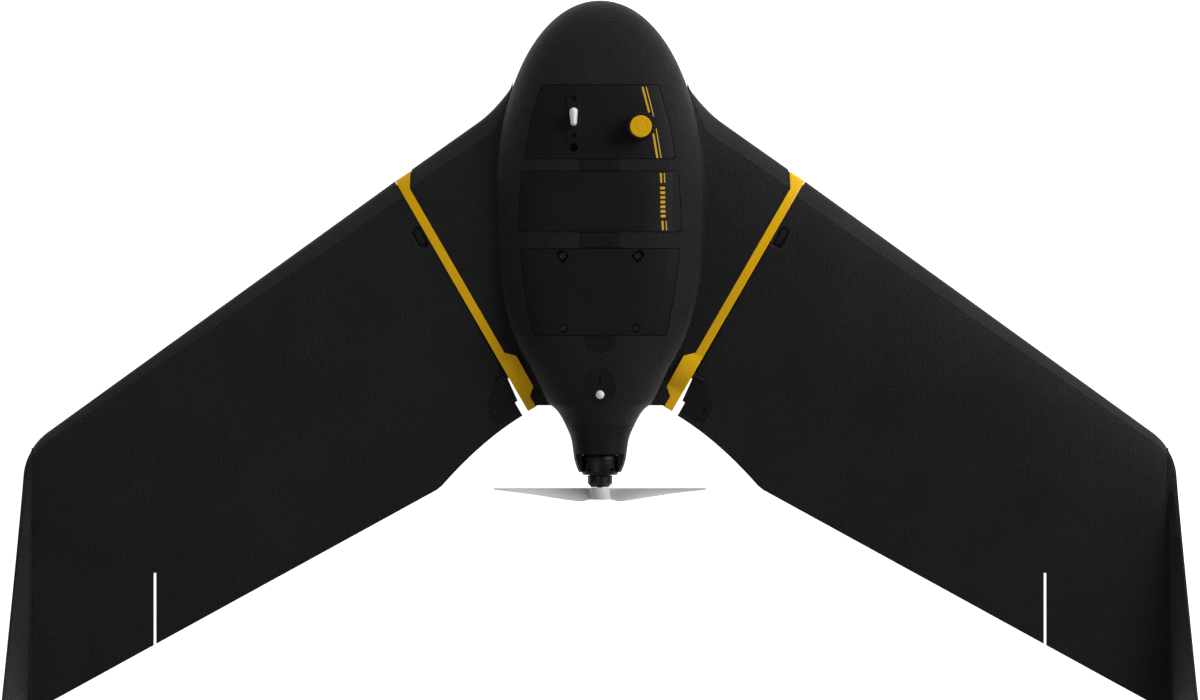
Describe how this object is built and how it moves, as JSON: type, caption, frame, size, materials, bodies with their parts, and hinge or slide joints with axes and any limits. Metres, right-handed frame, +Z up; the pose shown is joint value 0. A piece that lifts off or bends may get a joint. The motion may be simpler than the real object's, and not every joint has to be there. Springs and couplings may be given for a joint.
{
  "type": "fixed wing drone",
  "caption": "Tailless swept-wing mapping drone with removable wings, winglets, elevons, a rear pusher propeller, an opening battery hatch and a camera in its belly.",
  "frame": {"origin": "middle of the plan outline, on the flat surface that the belly plate rests on", "axes": "+X to the right wing tip, +Y to the nose, +Z up"},
  "size_m": [1.16, 0.7033, 0.1224],
  "materials": {
    "foam": "moulded expanded foam with a fine bead texture, near black",
    "shell_plastic": "satin black moulded plastic",
    "yellow_plastic": "satin golden yellow moulded plastic",
    "white_plastic": "white translucent plastic",
    "grey_plastic": "light grey glass filled plastic",
    "battery_wrap": "dark blue grey shrink wrap",
    "carbon": "pultruded carbon fibre tube",
    "metal": "bare turned metal",
    "circuit_board": "green circuit board with dark components",
    "aluminium_case": "bead blasted case",
    "lens_glass": "dark coated lens glass"
  },
  "bodies": {
    "fuselage": {"airspeed_base": "shell_plastic", "airspeed_probe": "white_plastic", "antenna_cap": "yellow_plastic", "antenna_housing": "shell_plastic", "autopilot_board": "circuit_board", "battery": "battery_wrap", "beacon_lens": "white_plastic", "beacon_plate": "shell_plastic", "belly_plate": "shell_plastic", "camera_body": "shell_plastic", "camera_lens": "lens_glass", "cover_screw_1": "metal", "cover_screw_2": "metal", "cover_screw_3": "metal", "cover_screw_4": "metal", "finger_plate_front": "shell_plastic", "finger_plate_rear": "shell_plastic", "finger_plate_service": "shell_plastic", "front_cover": "shell_plastic", "gnss_receiver": "circuit_board", "ground_sensor": "shell_plastic", "lower_shell": "foam", "motor_mount": "shell_plastic", "motor_stator": "metal", "radio_modem": "aluminium_case", "root_rib_left": "yellow_plastic", "root_rib_right": "yellow_plastic", "service_cover": "shell_plastic", "servo_left": "shell_plastic", "servo_right": "shell_plastic", "spar_sleeve_left": "metal", "spar_sleeve_right": "metal", "speed_controller": "shell_plastic", "strake_guard_left": "foam", "strake_guard_right": "foam", "tail_fairing": "shell_plastic", "tail_neck": "foam", "upper_shell": "foam"},
    "propeller_group": {"propeller": "grey_plastic", "prop_adapter": "shell_plastic", "prop_screw": "metal", "motor_bell": "shell_plastic", "motor_shaft": "metal"},
    "battery_hatch": {"battery_hatch": "shell_plastic"},
    "wing_left": {"wing_panel_left": "foam", "wing_guard_left": "foam", "wing_spar_left": "carbon", "winglet_left": "foam"},
    "elevon_left": {"elevon_left": "foam", "elevon_horn_left": "shell_plastic"},
    "wing_latch_left": {"wing_latch_left": "shell_plastic"},
    "servo_drive_left": {"servo_drive_left": "grey_plastic"},
    "wing_right": {"wing_panel_right": "foam", "wing_guard_right": "foam", "wing_spar_right": "carbon", "winglet_right": "foam"},
    "elevon_right": {"elevon_right": "foam", "elevon_horn_right": "shell_plastic"},
    "wing_latch_right": {"wing_latch_right": "shell_plastic"},
    "servo_drive_right": {"servo_drive_right": "grey_plastic"}
  },
  "joints": [
    {"name": "propeller_spin", "type": "hinge", "parent": "fuselage", "child": "propeller_group", "pos_m": [0, -0.12, 0.062], "axis": [0, 1, 0], "continuous": true},
    {"name": "battery_hatch_hinge", "type": "hinge", "parent": "fuselage", "child": "battery_hatch", "pos_m": [0, 0.1279, 0.1044], "axis": [1, 0, 0], "range_deg": [0, 75]},
    {"name": "wing_left_removal", "type": "slide", "parent": "fuselage", "child": "wing_left", "axis": [-0.8721, -0.4894, 0], "range_m": [0, 0.1]},
    {"name": "elevon_left_hinge", "type": "hinge", "parent": "wing_left", "child": "elevon_left", "pos_m": [-0.08965, -0.01037, 0.0548], "axis": [0.8721, 0.4894, 0], "range_deg": [-20, 20]},
    {"name": "servo_drive_left_turn", "type": "hinge", "parent": "fuselage", "child": "servo_drive_left", "pos_m": [-0.08965, -0.01037, 0.0548], "axis": [0.8721, 0.4894, 0], "range_deg": [-20, 20]},
    {"name": "wing_latch_left_press", "type": "slide", "parent": "wing_left", "child": "wing_latch_left", "axis": [0, 0, -1], "range_m": [0, 0.0025], "stiffness_N_per_m": 300, "springref_m": -0.002},
    {"name": "wing_right_removal", "type": "slide", "parent": "fuselage", "child": "wing_right", "axis": [0.8721, -0.4894, 0], "range_m": [0, 0.1]},
    {"name": "elevon_right_hinge", "type": "hinge", "parent": "wing_right", "child": "elevon_right", "pos_m": [0.08965, -0.01037, 0.0548], "axis": [0.8721, -0.4894, 0], "range_deg": [-20, 20]},
    {"name": "servo_drive_right_turn", "type": "hinge", "parent": "fuselage", "child": "servo_drive_right", "pos_m": [0.08965, -0.01037, 0.0548], "axis": [0.8721, -0.4894, 0], "range_deg": [-20, 20]},
    {"name": "wing_latch_right_press", "type": "slide", "parent": "wing_right", "child": "wing_latch_right", "axis": [0, 0, -1], "range_m": [0, 0.0025], "stiffness_N_per_m": 300, "springref_m": -0.002}
  ],
  "couplings": [
    {"joint": "servo_drive_left_turn", "follows": "elevon_left_hinge", "ratio": 1},
    {"joint": "servo_drive_right_turn", "follows": "elevon_right_hinge", "ratio": 1}
  ]
}
